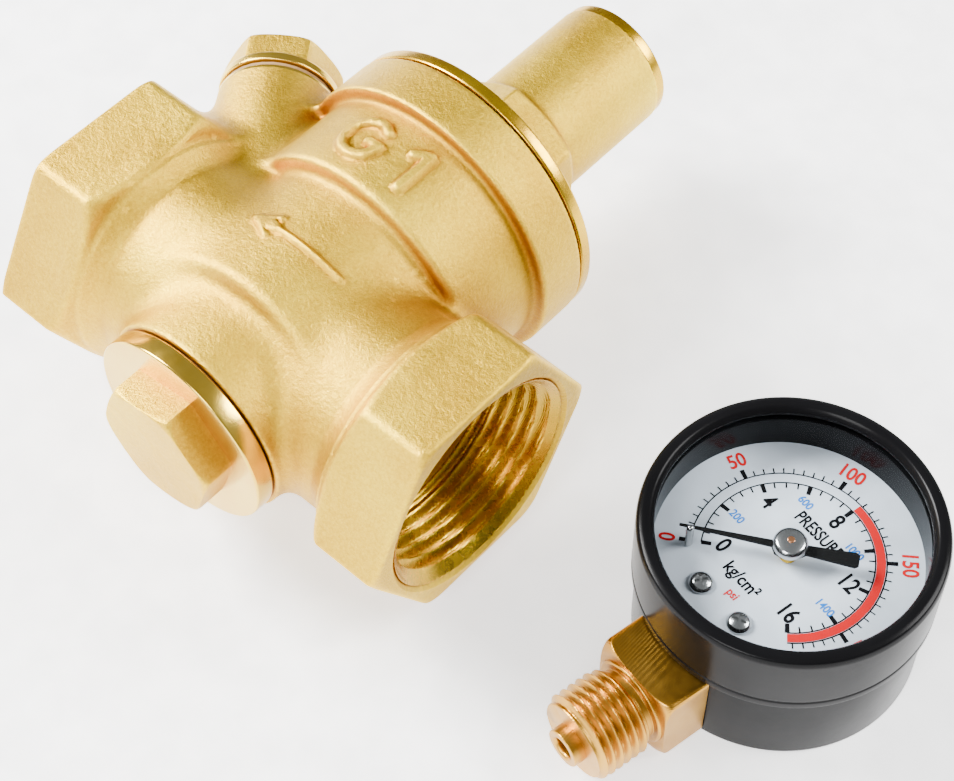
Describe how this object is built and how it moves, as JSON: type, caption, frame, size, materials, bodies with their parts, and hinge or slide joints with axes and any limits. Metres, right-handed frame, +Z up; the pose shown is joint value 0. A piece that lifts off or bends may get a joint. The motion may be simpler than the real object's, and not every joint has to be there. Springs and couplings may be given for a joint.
{
  "type": "water pressure regulator",
  "caption": "Inline brass water pressure regulator with female pipe sockets, an adjustable spring bonnet and a separate dial pressure gauge.",
  "frame": {"origin": "middle of the whole object's footprint, on the surface that it lies on", "axes": "+X along the flow axis from the outlet towards the inlet, +Y along the bonnet from the bottom plug towards the spring tube, +Z up"},
  "size_m": [0.1382, 0.099, 0.0468],
  "materials": {
    "cast_brass": "sand-cast and blasted",
    "turned_brass": "machined",
    "stem_brass": "machined, darker alloy",
    "bright_steel": "plated",
    "spring_steel": "drawn wire",
    "black_rubber": "matt",
    "fibre_washer": "pressed fibre",
    "black_enamel": "glossy enamel",
    "lens_glass": "clear",
    "dial_white": "satin print",
    "needle_black": "satin"
  },
  "bodies": {
    "regulator": {"valve_body": "cast_brass", "bonnet": "cast_brass", "bonnet_seal": "black_rubber", "valve_seat": "bright_steel", "bottom_plug": "cast_brass", "bottom_plug_gasket": "fibre_washer", "main_spring": "spring_steel"},
    "piston_group": {"piston": "turned_brass", "piston_o_ring": "black_rubber", "valve_stem": "bright_steel", "stem_lock_nut": "turned_brass", "poppet_disc": "black_rubber", "poppet_holder": "turned_brass", "stem_end_nut": "turned_brass"},
    "spring_seat": {"spring_seat": "bright_steel"},
    "adjusting_screw": {"adjusting_screw": "turned_brass"},
    "port_plug_travel": {"gauge_port_gasket": "fibre_washer"},
    "port_plug": {"gauge_port_plug": "turned_brass"},
    "gauge": {"gauge_case": "black_enamel", "gauge_bezel": "black_enamel", "gauge_lens": "lens_glass", "lens_gasket": "black_rubber", "gauge_dial": "dial_white", "dial_screw_1": "bright_steel", "dial_screw_2": "bright_steel", "stop_pin": "bright_steel", "sector_arbor": "bright_steel", "movement_back_plate": "turned_brass", "movement_front_plate": "turned_brass", "movement_pillar_1": "turned_brass", "movement_pillar_2": "turned_brass", "movement_screw_1": "bright_steel", "movement_screw_2": "bright_steel", "hairspring": "spring_steel", "bourdon_tube": "turned_brass", "tube_tip": "turned_brass", "gauge_socket": "stem_brass", "restrictor": "turned_brass"},
    "pointer_group": {"pointer": "needle_black", "pointer_hub": "bright_steel", "pinion_arbor": "turned_brass"},
    "sector": {"sector_gear": "turned_brass", "link_pin": "bright_steel"},
    "link": {"link": "turned_brass"}
  },
  "joints": [
    {"name": "piston_slide", "type": "slide", "parent": "regulator", "child": "piston_group", "axis": [0, 1, 0], "range_m": [0, 0.0025], "deforming": ["main_spring"]},
    {"name": "spring_seat_slide", "type": "slide", "parent": "regulator", "child": "spring_seat", "axis": [0, 1, 0], "range_m": [-0.003, 0.003], "deforming": ["main_spring"]},
    {"name": "screw_turn", "type": "hinge", "parent": "spring_seat", "child": "adjusting_screw", "pos_m": [-0.02596, 0.0398, 0.0234], "axis": [0, 1, 0], "range_deg": [-722, 722]},
    {"name": "port_plug_slide", "type": "slide", "parent": "regulator", "child": "port_plug_travel", "axis": [-0.592, 0.8059, 0], "range_m": [0, 0.00936]},
    {"name": "port_plug_turn", "type": "hinge", "parent": "port_plug_travel", "child": "port_plug", "pos_m": [-0.05897, 0.00861, 0.0248], "axis": [-0.592, 0.8059, 0], "range_deg": [0, 2522]},
    {"name": "gauge_lift", "type": "slide", "parent": "regulator", "child": "gauge", "axis": [0, 0, 1], "range_m": [0, 0.08]},
    {"name": "pointer_turn", "type": "hinge", "parent": "gauge", "child": "pointer_group", "pos_m": [0.04794, -0.0016, 0.0208], "axis": [0, 0, -1], "range_deg": [0, 261]},
    {"name": "sector_turn", "type": "hinge", "parent": "gauge", "child": "sector", "pos_m": [0.04812, 0.0084, 0.0089], "axis": [0, 0, -1], "range_deg": [-38, 0.5]},
    {"name": "link_turn", "type": "hinge", "parent": "sector", "child": "link", "pos_m": [0.04418, 0.00881, 0.0069], "axis": [0, 0, -1], "range_deg": [-0.5, 38]}
  ],
  "couplings": [
    {"joint": "screw_turn", "follows": "spring_seat_slide", "rad_per_m": 4188.8},
    {"joint": "port_plug_turn", "follows": "port_plug_slide", "rad_per_m": 4699.5},
    {"joint": "sector_turn", "follows": "pointer_turn", "ratio": -0.14286},
    {"joint": "link_turn", "follows": "pointer_turn", "ratio": 0.14286}
  ]
}
